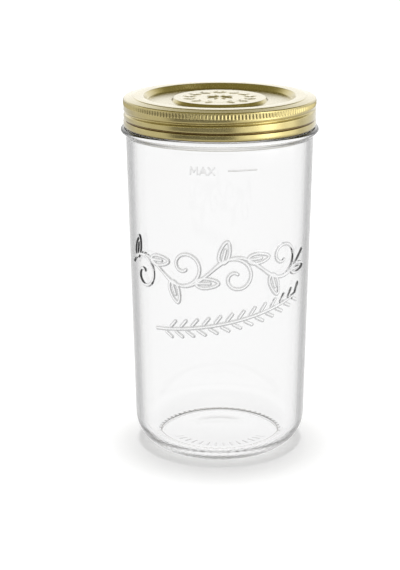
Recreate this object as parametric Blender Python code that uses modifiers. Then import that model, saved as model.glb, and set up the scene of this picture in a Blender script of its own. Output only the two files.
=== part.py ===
"""Tall glass storage jar with a screw lid, in the pieces that it comes apart into.

The pressed glass jar has a tapered body, a collar and a threaded neck. A tinplate
capsule covers the mouth, a sealing ring is bonded under the capsule's rim, and a
screw lid with a knurled band and a rolled thread clamps both down on the glass.

Metres, +Z up. The origin is on the axis, in the plane that the jar stands on.
The photographed front is -Y.
"""

import math

import bmesh
import bpy
from mathutils import Matrix, Vector

COLLECTION_NAME = "glass_storage_jar"

# Glass body
WALL_TOP_RADIUS = 0.0549  # outside, just under the collar
WALL_TAPER = 0.0034  # radius that the wall loses on its way down to the heel
WALL_THICKNESS = 0.0043
BODY_HEIGHT = 0.1890  # from the table to the underside of the collar
HEEL_RADIUS = 0.0203
HEEL_SWEEP = math.radians(67.0)
FLOOR_THICKNESS = 0.0038
FLOOR_FILLET = 0.0120

# Underside: a narrow bearing ring, notched all round, about a shallow push-up
BEARING_WIDTH = 0.0020
PUSH_UP_HEIGHT = 0.0022
PUSH_UP_SLOPE = 0.0012
PUSH_UP_DOME = 0.0006
NOTCH_COUNT = 60
NOTCH_WIDTH = 0.0016
NOTCH_DEPTH = 0.0004

# Collar and neck
COLLAR_PROUD = 0.0030  # beyond the top of the wall
COLLAR_ROUND = 0.0016
COLLAR_FLARE = 0.0044  # height in which the collar runs out into the body
NECK_HEIGHT = 0.0142
NECK_INSET = 0.00125  # from the top of the wall in to the neck
NECK_WALL = 0.00325
NECK_ROOT_FILLET = 0.0008
LIP_ROUND = 0.0012

# Screw thread, right-handed, on the glass and rolled into the lid
THREAD_PITCH = 0.0055
GLASS_THREAD_HEIGHT = 0.0013
GLASS_THREAD_WIDTH = 0.0028
GLASS_THREAD_TURNS = 1.5
LID_THREAD_WIDTH = 0.0027
LID_THREAD_TOP_ANGLE = math.radians(360.0)
THREAD_ENGAGEMENT = 0.0004
THREAD_FLANK_SHARE = 0.25  # of both widths together, how far apart the flanks bear
THREAD_RUNOUT = math.radians(30.0)
RUNOUT_END_SHARE = 0.35  # of the glass thread's size, left at its very ends

# Clearances
SEAT_GAP = 0.0003  # between pieces that rest on each other
THREAD_CLEARANCE = 0.0003  # from the glass thread's crest to the lid's hem
LID_COLLAR_GAP = 0.0005
CAPSULE_CLEARANCE = 0.0006  # from the capsule's edge to the lid's skirt
MOUTH_CLEARANCE = 0.0024  # from the capsule's dished centre to the mouth
OVERRUN = 0.0006  # how far a cutter reaches past what it cuts

# Sealing ring
RING_THICKNESS = 0.0014
RING_EDGE_ROUND = 0.0004

# Capsule
CAPSULE_SHEET = 0.0003
CAPSULE_DISH_DEPTH = 0.0028
CAPSULE_DISH_SLOPE = 0.0010
CAPSULE_EDGE_HEIGHT = 0.0017
CAPSULE_EDGE_ROUND = 0.0006
BUTTON_RADIUS = 0.0215
BUTTON_RISE = 0.0008
BUTTON_SLOPE = 0.0012

# Screw lid
LID_SHEET = 0.00035
LID_CORNER = 0.0010
LEDGE_WIDTH = 0.0052
CROWN_WIDTH = 0.0064
CROWN_RISE = 0.0006
CROWN_SLOPE = 0.0006
RECESS_DEPTH = 0.0030  # from the crown down to the panel
RECESS_SLOPE = 0.0018
DISC_RADIUS = 0.0281
DISC_RISE = 0.0017
DISC_SLOPE = 0.0012
KNURL_COUNT = 174
KNURL_HEIGHT = 0.0034
KNURL_DEPTH = 0.00018
KNURL_RELIEF = 0.00003  # from the skirt out to the knurl's valleys
KNURL_CHAMFER = 0.0001
GROOVE_DEPTH = 0.0005
GROOVE_WIDTH = 0.0020
GROOVE_HEIGHT = 0.0044  # from the lid's lower edge to the middle of the groove
HEM_RADIUS = 0.00042
HEM_HEIGHT = 0.0012

# Facets
JAR_STEPS = NOTCH_COUNT
FLUTES_PER_FACET = 3
LID_STEPS = KNURL_COUNT // FLUTES_PER_FACET
CAPSULE_STEPS = 48
THREAD_ROWS = 9
SHARP_ANGLE = math.radians(35.0)
WELD_DISTANCE = 0.000001

# Radii and heights of the jar, bottom up
WALL_FOOT_RADIUS = WALL_TOP_RADIUS - WALL_TAPER
COLLAR_RADIUS = WALL_TOP_RADIUS + COLLAR_PROUD
NECK_RADIUS = WALL_TOP_RADIUS - NECK_INSET
HEEL_TOP_Z = HEEL_RADIUS * math.sin(HEEL_SWEEP)
FLOOR_Z = PUSH_UP_HEIGHT + FLOOR_THICKNESS
COLLAR_WIDEST_Z = BODY_HEIGHT + COLLAR_FLARE
COLLAR_TOP_Z = COLLAR_WIDEST_Z + COLLAR_ROUND
RIM_Z = COLLAR_TOP_Z + NECK_HEIGHT
MOUTH_RADIUS = NECK_RADIUS - NECK_WALL
BEARING_RADIUS = WALL_FOOT_RADIUS - HEEL_RADIUS * (1.0 - math.cos(HEEL_SWEEP))
GLASS_THREAD_RADIUS = NECK_RADIUS + GLASS_THREAD_HEIGHT

# Heights and radii of the closure, stacked on the rim
RING_BOTTOM_Z = RIM_Z + SEAT_GAP
RING_TOP_Z = RING_BOTTOM_Z + RING_THICKNESS
CAPSULE_TOP_Z = RING_TOP_Z + SEAT_GAP + CAPSULE_SHEET
LID_TOP_Z = CAPSULE_TOP_Z + SEAT_GAP + LID_SHEET
LID_BOTTOM_Z = COLLAR_TOP_Z + LID_COLLAR_GAP
CROWN_Z = LID_TOP_Z + CROWN_RISE
PANEL_Z = CROWN_Z - RECESS_DEPTH
KNURL_TOP_Z = LID_TOP_Z - LID_CORNER
KNURL_BOTTOM_Z = KNURL_TOP_Z - KNURL_HEIGHT
GROOVE_Z = LID_BOTTOM_Z + GROOVE_HEIGHT
SKIRT_RADIUS = GLASS_THREAD_RADIUS + THREAD_CLEARANCE + 2 * HEM_RADIUS
SKIRT_INNER_RADIUS = SKIRT_RADIUS - LID_SHEET
KNURL_VALLEY_RADIUS = SKIRT_RADIUS + KNURL_RELIEF
KNURL_CREST_RADIUS = KNURL_VALLEY_RADIUS + KNURL_DEPTH
CAPSULE_RADIUS = SKIRT_INNER_RADIUS - CAPSULE_CLEARANCE
DISH_RADIUS = MOUTH_RADIUS - MOUTH_CLEARANCE

# Helix of the lid's thread, and the glass thread that it bears under
LID_THREAD_DEPTH = SKIRT_INNER_RADIUS - GLASS_THREAD_RADIUS + THREAD_ENGAGEMENT
LID_THREAD_TOP_Z = KNURL_BOTTOM_Z - LID_THREAD_WIDTH / 2
LID_THREAD_LOW_Z = GROOVE_Z + (GROOVE_WIDTH + LID_THREAD_WIDTH) / 2
THREAD_SEAT = THREAD_FLANK_SHARE * (GLASS_THREAD_WIDTH + LID_THREAD_WIDTH) + SEAT_GAP
GLASS_THREAD_TOP_Z = RIM_Z - LIP_ROUND - GLASS_THREAD_WIDTH / 2


def helix_angle(height):
    """Angle at which the lid's thread, unrolled, passes a height."""
    return LID_THREAD_TOP_ANGLE + 2 * math.pi * (height - LID_THREAD_TOP_Z) / THREAD_PITCH


def helix_height(angle):
    """Height of the lid's thread at an unrolled angle."""
    return LID_THREAD_TOP_Z + THREAD_PITCH * (angle - LID_THREAD_TOP_ANGLE) / (2 * math.pi)


def arc(centre_x, centre_z, radius, start_degrees, end_degrees, steps):
    """Points along an arc in the profile plane, both ends included."""
    points = []
    for step in range(steps + 1):
        angle = math.radians(start_degrees + (end_degrees - start_degrees) * step / steps)
        points.append((centre_x + radius * math.cos(angle), centre_z + radius * math.sin(angle)))
    return points


def wave(share):
    """One smooth hump: 1 in the middle, 0 at shares of -1 and 1 and beyond."""
    return math.cos(math.pi * share / 2) ** 2 if abs(share) < 1 else 0.0


def sheet_underside(points, thickness):
    """The underside of a pressed sheet: its upper outline, offset with mitred corners."""
    lower = []
    for index, point in enumerate(points):
        here = Vector(point)
        before = here - Vector(points[max(index - 1, 0)])
        after = Vector(points[min(index + 1, len(points) - 1)]) - here
        directions = [side.normalized() for side in (before, after) if side.length > 0]
        normals = [Vector((side.y, -side.x)) for side in directions]
        mitre = sum(normals, Vector((0, 0))).normalized()
        lower.append(tuple(here + mitre * (thickness / mitre.dot(normals[0]))))
    return lower


def material(name, colour, roughness, metallic=0.0, transmission=0.0):
    surface = bpy.data.materials.new(name)
    surface.use_nodes = True
    shader = surface.node_tree.nodes["Principled BSDF"]
    shader.inputs["Base Color"].default_value = (*colour, 1.0)
    shader.inputs["Roughness"].default_value = roughness
    shader.inputs["Metallic"].default_value = metallic
    shader.inputs["Transmission Weight"].default_value = transmission
    return surface


def link(mesh, name, collection):
    piece = bpy.data.objects.new(name, mesh)
    collection.objects.link(piece)
    return piece


def turned(name, profile, steps, collection, closed):
    """A turned piece: its profile, run top to bottom down the outside, on a Screw modifier."""
    mesh = bpy.data.meshes.new(name)
    points = [(x, 0.0, z) for x, z in profile]
    edges = [(index, index + 1) for index in range(len(points) - 1)]
    if closed:
        edges.append((len(points) - 1, 0))
    mesh.from_pydata(points, edges, [])
    piece = link(mesh, name, collection)
    screw = piece.modifiers.new("turn", "SCREW")
    screw.steps = steps
    screw.render_steps = steps
    screw.use_merge_vertices = True
    screw.merge_threshold = WELD_DISTANCE
    return piece


def as_mesh(piece, collection):
    """The piece as an evaluated, welded mesh under the same name, without its modifiers."""
    bpy.context.view_layer.update()
    evaluated = piece.evaluated_get(bpy.context.evaluated_depsgraph_get())
    mesh = bpy.data.meshes.new_from_object(evaluated)
    name, place = piece.name, piece.matrix_world.copy()
    bpy.data.objects.remove(piece)
    shape = bmesh.new()
    shape.from_mesh(mesh)
    bmesh.ops.remove_doubles(shape, verts=shape.verts, dist=WELD_DISTANCE)
    bmesh.ops.recalc_face_normals(shape, faces=shape.faces)
    shape.to_mesh(mesh)
    shape.free()
    mesh.name = name
    solid = link(mesh, name, collection)
    solid.matrix_world = place
    return solid


def combine(piece, cutter, operation):
    """Boolean with a cutter that stays in its own collection, out of the model."""
    cutter.hide_render = True
    cutter.display_type = "WIRE"
    boolean = piece.modifiers.new(cutter.name, "BOOLEAN")
    boolean.operation = operation
    boolean.solver = "EXACT"
    boolean.object = cutter


def finish(piece, surface):
    piece.data.materials.clear()
    piece.data.materials.append(surface)
    piece.data.shade_smooth()
    piece.data.set_sharp_from_angle(angle=SHARP_ANGLE)


def jar_profile():
    """Inside from the floor up, over the lip, and down the outside to the underside."""
    inner_foot = WALL_FOOT_RADIUS - WALL_THICKNESS
    fillet = arc(inner_foot - FLOOR_FILLET, FLOOR_Z + FLOOR_FILLET, FLOOR_FILLET, -90, 0, 5)
    lip = arc(MOUTH_RADIUS + LIP_ROUND, RIM_Z - LIP_ROUND, LIP_ROUND, 180, 90, 3)
    lip += arc(NECK_RADIUS - LIP_ROUND, RIM_Z - LIP_ROUND, LIP_ROUND, 90, 0, 3)
    root = arc(
        NECK_RADIUS + NECK_ROOT_FILLET, COLLAR_TOP_Z + NECK_ROOT_FILLET, NECK_ROOT_FILLET, 180, 270, 2
    )
    collar = arc(COLLAR_RADIUS - COLLAR_ROUND, COLLAR_WIDEST_Z, COLLAR_ROUND, 90, 0, 4)
    heel = arc(WALL_FOOT_RADIUS - HEEL_RADIUS, HEEL_TOP_Z, HEEL_RADIUS, 0, -math.degrees(HEEL_SWEEP), 7)
    push_up_edge = BEARING_RADIUS - BEARING_WIDTH
    underside = [
        (push_up_edge, 0.0),
        (push_up_edge - PUSH_UP_SLOPE, PUSH_UP_HEIGHT),
        (0.0, PUSH_UP_HEIGHT + PUSH_UP_DOME),
    ]
    inside = [(0.0, FLOOR_Z)] + fillet + [(MOUTH_RADIUS, BODY_HEIGHT)]
    return inside + lip + root + collar + collar_flare() + heel + underside


def collar_flare():
    """The collar's lower side, an even S-curve from its widest point into the body."""
    steps = 5
    points = []
    for step in range(1, steps + 1):
        swell = wave(step / steps)
        radius = WALL_TOP_RADIUS + (COLLAR_RADIUS - WALL_TOP_RADIUS) * swell
        points.append((radius, COLLAR_WIDEST_Z - COLLAR_FLARE * step / steps))
    return points


def glass_thread(collection):
    """The rounded glass ridge: a tube along the helix, half sunk in the neck, run out at its ends."""
    tube_radius = GLASS_THREAD_WIDTH / 2
    helix_radius = GLASS_THREAD_RADIUS - tube_radius
    top_angle = helix_angle(GLASS_THREAD_TOP_Z - THREAD_SEAT)
    bottom_angle = top_angle - 2 * math.pi * GLASS_THREAD_TURNS
    count = round(GLASS_THREAD_TURNS * JAR_STEPS)
    curve = bpy.data.curves.new("glass_thread", "CURVE")
    curve.dimensions = "3D"
    curve.bevel_depth = tube_radius
    curve.bevel_resolution = 2
    curve.use_fill_caps = True
    spline = curve.splines.new("POLY")
    spline.points.add(count)
    for index, point in enumerate(spline.points):
        angle = bottom_angle + (top_angle - bottom_angle) * index / count
        place = (helix_radius * math.cos(angle), helix_radius * math.sin(angle))
        point.co = (*place, helix_height(angle) + THREAD_SEAT, 1.0)
        from_end = min(angle - bottom_angle, top_angle - angle, THREAD_RUNOUT)
        fade = wave(1 - from_end / THREAD_RUNOUT)
        point.radius = RUNOUT_END_SHARE + (1 - RUNOUT_END_SHARE) * fade
    return as_mesh(link(curve, "glass_thread", collection), collection)


def bearing_notches(collection):
    """Short notches across the bearing ring, one in the middle of every facet."""
    inner = BEARING_RADIUS - BEARING_WIDTH - OVERRUN
    outer = BEARING_RADIUS + BEARING_WIDTH
    shape = bmesh.new()
    for index in range(NOTCH_COUNT):
        angle = 2 * math.pi * (index + 0.5) / NOTCH_COUNT
        block = bmesh.ops.create_cube(shape, size=1.0)["verts"]
        bmesh.ops.scale(shape, verts=block, vec=(outer - inner, NOTCH_WIDTH, 2 * NOTCH_DEPTH))
        bmesh.ops.translate(shape, verts=block, vec=((outer + inner) / 2, 0.0, 0.0))
        bmesh.ops.rotate(shape, verts=block, cent=(0, 0, 0), matrix=Matrix.Rotation(angle, 3, "Z"))
    mesh = bpy.data.meshes.new("bearing_notches")
    shape.to_mesh(mesh)
    shape.free()
    return link(mesh, "bearing_notches", collection)


def glass_jar(parts, cutters):
    jar = as_mesh(turned("glass_jar", jar_profile(), JAR_STEPS, parts, closed=False), parts)
    combine(jar, glass_thread(cutters), "UNION")
    combine(jar, bearing_notches(cutters), "DIFFERENCE")
    finish(jar, material("clear_glass", (0.93, 0.95, 0.94), 0.03, transmission=1.0))


def sealing_ring(parts):
    """The moulded ring that lies between the glass rim and the capsule."""
    inner = DISH_RADIUS + CAPSULE_SHEET + SEAT_GAP
    outer = CAPSULE_RADIUS - CAPSULE_SHEET - SEAT_GAP
    base_z = RING_BOTTOM_Z + RING_EDGE_ROUND
    profile = [(inner, RING_TOP_Z), (outer, RING_TOP_Z)]
    profile += arc(outer - RING_EDGE_ROUND, base_z, RING_EDGE_ROUND, 0, -90, 2)
    profile += arc(inner + RING_EDGE_ROUND, base_z, RING_EDGE_ROUND, -90, -180, 2)
    ring = as_mesh(turned("sealing_ring", profile, CAPSULE_STEPS, parts, closed=True), parts)
    finish(ring, material("sealing_compound", (0.80, 0.76, 0.66), 0.55))


def capsule_profile():
    """Upper side from the middle out and down the edge, then back along the underside."""
    dish_z = CAPSULE_TOP_Z - CAPSULE_DISH_DEPTH
    upper = [
        (0.0, dish_z + BUTTON_RISE),
        (BUTTON_RADIUS, dish_z + BUTTON_RISE),
        (BUTTON_RADIUS + BUTTON_SLOPE, dish_z),
        (DISH_RADIUS - CAPSULE_DISH_SLOPE, dish_z),
        (DISH_RADIUS, CAPSULE_TOP_Z),
    ]
    edge_centre = CAPSULE_RADIUS - CAPSULE_EDGE_ROUND
    edge_centre_z = CAPSULE_TOP_Z - CAPSULE_EDGE_ROUND
    edge_bottom_z = CAPSULE_TOP_Z - CAPSULE_EDGE_HEIGHT
    inner_round = CAPSULE_EDGE_ROUND - CAPSULE_SHEET
    edge = arc(edge_centre, edge_centre_z, CAPSULE_EDGE_ROUND, 90, 0, 3)
    edge += [(CAPSULE_RADIUS, edge_bottom_z), (CAPSULE_RADIUS - CAPSULE_SHEET, edge_bottom_z)]
    edge += arc(edge_centre, edge_centre_z, inner_round, 0, 90, 2)
    lower = sheet_underside(upper, CAPSULE_SHEET)
    return upper + edge + lower[::-1]


def sealing_capsule(parts):
    profile = capsule_profile()
    capsule = as_mesh(turned("sealing_capsule", profile, CAPSULE_STEPS, parts, closed=False), parts)
    finish(capsule, material("lacquered_capsule", (0.72, 0.62, 0.36), 0.35, metallic=1.0))


def groove_rows(radius):
    """Rows through the plain groove round the skirt, top to bottom."""
    shares = (1.0, 0.5, 0.0, -0.5, -1.0)
    half = GROOVE_WIDTH / 2
    return [(radius - GROOVE_DEPTH * wave(share), GROOVE_Z + half * share) for share in shares]


def thread_rows(radius):
    """Evenly spaced rows between the knurl and the groove, pressed into the thread later."""
    low_z = GROOVE_Z + GROOVE_WIDTH / 2
    height = KNURL_BOTTOM_Z - low_z
    return [(radius, KNURL_BOTTOM_Z - height * row / THREAD_ROWS) for row in range(THREAD_ROWS)]


def lid_profile():
    """Top from the middle out, down the skirt, round the hem, and back up the inside."""
    crown_inner = SKIRT_RADIUS - LEDGE_WIDTH - CROWN_WIDTH
    top = [
        (0.0, PANEL_Z + DISC_RISE),
        (DISC_RADIUS - DISC_SLOPE, PANEL_Z + DISC_RISE),
        (DISC_RADIUS, PANEL_Z),
        (crown_inner - RECESS_SLOPE, PANEL_Z),
        (crown_inner, CROWN_Z),
        (SKIRT_RADIUS - LEDGE_WIDTH - CROWN_SLOPE, CROWN_Z),
        (SKIRT_RADIUS - LEDGE_WIDTH, LID_TOP_Z),
        (SKIRT_RADIUS - LID_CORNER, LID_TOP_Z),
    ]
    blank_radius = KNURL_CREST_RADIUS + KNURL_CHAMFER
    knurl_blank = [
        (blank_radius, KNURL_TOP_Z - KNURL_CHAMFER),
        (blank_radius, KNURL_BOTTOM_Z + KNURL_CHAMFER),
    ]
    corner = arc(SKIRT_RADIUS - LID_CORNER, KNURL_TOP_Z, LID_CORNER, 90, 0, 3)[1:]
    hem_centre = SKIRT_RADIUS - HEM_RADIUS
    hem = arc(hem_centre, LID_BOTTOM_Z + HEM_RADIUS, HEM_RADIUS, 0, -180, 4)
    hem.append((SKIRT_RADIUS - 2 * HEM_RADIUS, LID_BOTTOM_Z + HEM_HEIGHT))
    hem.append((SKIRT_INNER_RADIUS, LID_BOTTOM_Z + HEM_HEIGHT + HEM_RADIUS))
    outside = corner + knurl_blank + thread_rows(SKIRT_RADIUS) + groove_rows(SKIRT_RADIUS)
    inside = groove_rows(SKIRT_INNER_RADIUS)[::-1] + thread_rows(SKIRT_INNER_RADIUS)[::-1]
    inside += arc(SKIRT_RADIUS - LID_CORNER, KNURL_TOP_Z, LID_CORNER - LID_SHEET, 0, 90, 2)[:-1]
    return top + outside + hem + inside + sheet_underside(top, LID_SHEET)[::-1]


def press_thread(lid):
    """Press the helical thread into the skirt, both faces alike, with run-out ends."""
    low_angle = helix_angle(LID_THREAD_LOW_Z)
    half_width = LID_THREAD_WIDTH / 2
    for vertex in lid.data.vertices:
        x, y, z = vertex.co
        radius = math.hypot(x, y)
        if radius < CAPSULE_RADIUS or not GROOVE_Z < z < KNURL_BOTTOM_Z:
            continue
        nearest = math.atan2(y, x) - helix_angle(z)
        angle = helix_angle(z) + math.remainder(nearest, 2 * math.pi)
        from_end = min(angle - low_angle, LID_THREAD_TOP_ANGLE - angle, THREAD_RUNOUT)
        if from_end <= 0:
            continue
        fade = wave(1 - from_end / THREAD_RUNOUT)
        depth = LID_THREAD_DEPTH * fade * wave((z - helix_height(angle)) / half_width)
        vertex.co.x *= (radius - depth) / radius
        vertex.co.y *= (radius - depth) / radius


def knurl_cutter(collection):
    """A flat ring round the lid whose hole has the knurl's ridges and valleys as its outline."""
    curve = bpy.data.curves.new("knurl_cutter", "CURVE")
    curve.dimensions = "2D"
    curve.fill_mode = "BOTH"
    curve.extrude = KNURL_HEIGHT / 2
    outer = curve.splines.new("POLY")
    outer.points.add(LID_STEPS - 1)
    outer.use_cyclic_u = True
    for index, point in enumerate(outer.points):
        angle = 2 * math.pi * index / LID_STEPS
        radius = KNURL_CREST_RADIUS + 2 * OVERRUN
        point.co = (radius * math.cos(angle), radius * math.sin(angle), 0.0, 1.0)
    flutes = curve.splines.new("POLY")
    flutes.points.add(2 * KNURL_COUNT - 1)
    flutes.use_cyclic_u = True
    for index, point in enumerate(flutes.points):
        angle = math.pi * index / KNURL_COUNT
        radius = KNURL_VALLEY_RADIUS if index % 2 else KNURL_CREST_RADIUS
        point.co = (radius * math.cos(angle), radius * math.sin(angle), 0.0, 1.0)
    cutter = link(curve, "knurl_cutter", collection)
    cutter.location.z = (KNURL_TOP_Z + KNURL_BOTTOM_Z) / 2
    return as_mesh(cutter, collection)


def screw_lid(parts, cutters):
    lid = as_mesh(turned("screw_lid", lid_profile(), LID_STEPS, parts, closed=False), parts)
    press_thread(lid)
    combine(lid, knurl_cutter(cutters), "DIFFERENCE")
    finish(lid, material("gold_lacquer", (0.78, 0.68, 0.40), 0.28, metallic=1.0))


def clear_scene():
    for old in list(bpy.data.objects):
        bpy.data.objects.remove(old)


def new_collection(name):
    collection = bpy.data.collections.new(name)
    bpy.context.scene.collection.children.link(collection)
    return collection


def main():
    clear_scene()
    parts = new_collection(COLLECTION_NAME)
    cutters = new_collection("cutters")
    glass_jar(parts, cutters)
    sealing_ring(parts)
    sealing_capsule(parts)
    screw_lid(parts, cutters)


main()
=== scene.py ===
"""A tall clear glass storage jar with a gold screw lid, dressed for its studio photograph.

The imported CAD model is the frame. The pressed glass, the lid, the capsule and its ring are
each made again here with their fine relief, threads, knurl and rounded edges.
Metres, +Z up, the jar stands on z = 0 and its photographed front is -Y.
"""

import math

import bmesh
import bpy
import numpy as np
from mathutils import Matrix, Vector


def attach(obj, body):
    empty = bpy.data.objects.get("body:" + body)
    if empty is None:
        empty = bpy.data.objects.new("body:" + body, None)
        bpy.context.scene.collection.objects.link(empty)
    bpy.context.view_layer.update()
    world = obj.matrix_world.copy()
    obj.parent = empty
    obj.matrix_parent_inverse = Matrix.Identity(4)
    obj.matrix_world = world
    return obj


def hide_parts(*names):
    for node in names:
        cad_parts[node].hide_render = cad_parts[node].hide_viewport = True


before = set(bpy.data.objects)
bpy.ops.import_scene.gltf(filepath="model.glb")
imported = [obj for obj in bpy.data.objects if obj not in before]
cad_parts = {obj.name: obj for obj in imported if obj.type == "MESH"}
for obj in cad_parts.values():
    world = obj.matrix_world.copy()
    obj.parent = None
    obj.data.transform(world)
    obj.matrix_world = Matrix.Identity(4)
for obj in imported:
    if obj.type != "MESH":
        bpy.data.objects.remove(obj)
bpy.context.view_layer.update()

MM = 0.001

# Glass. The push-up is lower than the CAD model's, because a high step shows through the floor as a dark ring
WALL_TOP_RADIUS = 54.9 * MM
WALL_FOOT_RADIUS = 51.5 * MM
WALL_THICKNESS = 4.3 * MM
BODY_HEIGHT = 189.0 * MM
HEEL_RADIUS = 20.3 * MM
HEEL_SWEEP = 67.0  # degrees, from level down to the bearing ring
HEEL_TOP_Z = HEEL_RADIUS * math.sin(math.radians(HEEL_SWEEP))
FLOOR_Z = 6.0 * MM
FLOOR_FILLET = 12.0 * MM
BEARING_RADIUS = WALL_FOOT_RADIUS - HEEL_RADIUS * (1 - math.cos(math.radians(HEEL_SWEEP)))
BEARING_WIDTH = 2.0 * MM
BEARING_INSIDE = BEARING_RADIUS - BEARING_WIDTH
BEARING_ROUND = 0.5 * MM
PUSH_UP_HEIGHT = 1.5 * MM
PUSH_UP_RUN = 0.9 * MM
PUSH_UP_DOME = 0.6 * MM
UNDERSIDE_TOP_Z = PUSH_UP_HEIGHT + MM
COLLAR_RADIUS = 57.9 * MM
COLLAR_ROUND = 1.6 * MM
COLLAR_FLARE = 4.4 * MM
FLARE_POWER = 3.6  # the higher, the closer the flare keeps to the collar
COLLAR_WIDEST_Z = BODY_HEIGHT + COLLAR_FLARE
COLLAR_TOP_Z = COLLAR_WIDEST_Z + COLLAR_ROUND
NECK_RADIUS = 53.65 * MM
NECK_ROOT = 0.8 * MM
MOUTH_RADIUS = 50.4 * MM
RIM_Z = 209.2 * MM
LIP_ROUND = 1.2 * MM
GLASS_COLUMNS = 240

# Grip on the foot: nibs on the bearing ring and a stipple up the heel, as many round as there are nibs
NIB_COUNT = 60
NIB_HEIGHT = 0.4 * MM
NIB_TOP_Z = 1.5 * MM
STIPPLE_START = 17.0  # degrees down the heel
STIPPLE_FADE = 8.0  # degrees
STIPPLE_PITCH = 3.4 * MM
STIPPLE_DEPTH = 0.22 * MM
# Heights from which the painted grey of the glass's edges thins out towards the table
HEEL_FADE_Z = 14.0 * MM
FOOT_FADE_Z = 7.0 * MM

# Plain bars under the base
BASE_BARS = 13
BAR_SPREAD = 62.0  # degrees to each side of the front
BAR_CIRCLE = 28.0 * MM
BAR_LENGTH = 6.4 * MM
BAR_WIDTH = 1.8 * MM
BAR_HEIGHT = 0.2 * MM
# Strength of the painted shade on the bars' flanks
BAR_SHADE = 0.4

# Relief on the wall: strokes and their flanks are in mm on the unrolled wall, and heights in metres
RELIEF_WIDTH = 2.8
RELIEF_FLANK = 1.2
RELIEF_HEIGHT = 0.7 * MM
# Strength of the painted shade on the relief's flanks
RELIEF_SHADE = 1.0
MARK_WIDTH = 1.2
MARK_FLANK = 0.6
MARK_HEIGHT = 0.5 * MM
# Strength of the painted shade on the fill mark's flanks
MARK_SHADE = 0.6
VINE_CRESTS = ((-50.7, 1), (-20.7, -1), (9.3, 1), (39.3, -1))
LEAF_LENGTH = 13.0
LEAF_WIDTH = 7.0
GRAIN_LENGTH = 4.6
GRAIN_SLANT = 42  # degrees off the stalk

# The screw thread, right-handed, on the glass and rolled into the lid
PITCH = 5.5 * MM
LID_THREAD_TOP_Z = 206.4 * MM
LID_THREAD_TURNS = (88.0 / 360.0, 1.0)
LID_THREAD_WIDTH = 2.7 * MM
LID_THREAD_DEPTH = 1.19 * MM
GLASS_THREAD_TOP_Z = 206.6 * MM
GLASS_THREAD_TURNS = 1.5
GLASS_THREAD_WIDTH = 3.0 * MM
GLASS_THREAD_HEIGHT = 1.3 * MM
GLASS_THREAD_END = 1.03
RUNOUT_TURNS = 30.0 / 360.0

# Closure
LID_SHEET = 0.35 * MM
SKIRT_RADIUS = 56.09 * MM
LID_BOTTOM_Z = 195.5 * MM
HEM_ROUND = 0.42 * MM
LEDGE_Z = 212.15 * MM
LEDGE_INSIDE = 50.75 * MM
CROWN_Z = 212.75 * MM
CROWN_OUTSIDE = 50.29 * MM
CROWN_INSIDE = 44.49 * MM
PANEL_Z = 209.75 * MM
PANEL_OUTSIDE = 42.69 * MM
PANEL_INSIDE = 28.1 * MM
DISC_Z = 211.45 * MM
DISC_RADIUS = 26.9 * MM
KNURL_TOP_Z = 211.15 * MM
KNURL_BOTTOM_Z = 207.75 * MM
KNURL_COUNT = 174
KNURL_HEIGHT = 0.21 * MM
KNURL_DEPTH = 0.5 * MM
KNURL_FADE = 2.6
GROOVE_Z = 199.9 * MM
GROOVE_WIDTH = 1.6 * MM
GROOVE_DEPTH = 0.92 * MM
GROOVE_INSIDE = 0.72 * MM
CAPSULE_TOP_Z = 211.5 * MM
CAPSULE_RADIUS = 55.14 * MM
CAPSULE_SHEET = 0.3 * MM
CAPSULE_COLUMNS = 192
DISH_RADIUS = 48.0 * MM
DISH_DEPTH = 2.8 * MM
BUTTON_RISE = 0.8 * MM
RING_TOP_Z = 210.9 * MM
RING_BOTTOM_Z = 209.5 * MM

# Ornament on the lid's disc, in mm but for its height
WREATH_RADIUS = 17.6
WREATH_LEAVES = 7
WREATH_HEIGHT = 0.4 * MM
BLADE_LENGTH = 5.4
BLADE_WIDTH = 2.5
PETALS = 8
PETAL_WIDTH = 3.4
ROSETTE_RADIUS = 2.4
ORNAMENT_REACH = 25.6 * MM

# Studio, in metres
PAPER_SIZE = 20.0
TENT_RADIUS = 6.0
CARD_DISTANCE = 0.72
CARD_FADE = 9  # degrees at each end

WELD = 0.002 * MM
TOUCH = 0.01 * MM
SECTORS = 12


def linear(code):
    """An sRGB hex colour as the linear colour that a shader takes."""
    parts = [int(code[place:place + 2], 16) / 255 for place in (1, 3, 5)]
    return (*[c / 12.92 if c <= 0.04045 else ((c + 0.055) / 1.055) ** 2.4 for c in parts], 1.0)


def add_node(tree, kind, settings=None, inputs=None, links=None):
    """Adds one node: settings are its properties, inputs its own values, links where they come from."""
    made = tree.nodes.new(kind)
    for name, value in (settings or {}).items():
        setattr(made, name, value)
    for name, value in (inputs or {}).items():
        made.inputs[name].default_value = value
    for name, source in (links or {}).items():
        tree.links.new(source, made.inputs[name])
    return made


def new_material(name):
    """A new finish, its node tree and its shader."""
    surface = bpy.data.materials.new(name)
    surface.use_nodes = True
    tree = surface.node_tree
    return surface, tree, tree.nodes["Principled BSDF"]


# Shapes

def arc(centre_x, centre_z, radius, start, end, steps):
    """Points along an arc of the profile, in degrees, both ends included."""
    turns = [math.radians(start + (end - start) * step / steps) for step in range(steps + 1)]
    return [(centre_x + radius * math.cos(a), centre_z + radius * math.sin(a)) for a in turns]


def rounded(corners):
    """A profile through corners given as (radius, height, rounding, steps), each one eased by an arc."""
    points = []
    for index, (x, z, rounding, steps) in enumerate(corners):
        here = Vector((x, z))
        if not rounding or index in (0, len(corners) - 1):
            points.append((x, z))
            continue
        back = (Vector(corners[index - 1][:2]) - here).normalized()
        ahead = (Vector(corners[index + 1][:2]) - here).normalized()
        half = back.angle(ahead) / 2
        reach = rounding / math.tan(half)
        start, end = here + back * reach, here + ahead * reach
        for step in range(steps + 1):
            share = step / steps
            points.append(tuple(start * (1 - share) ** 2 + here * 2 * share * (1 - share) + end * share ** 2))
    return points


def rows(start, end, count):
    """Evenly spaced points between two, without either end."""
    a, b = Vector(start), Vector(end)
    return [tuple(a.lerp(b, step / (count + 1))) for step in range(1, count + 1)]


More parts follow.
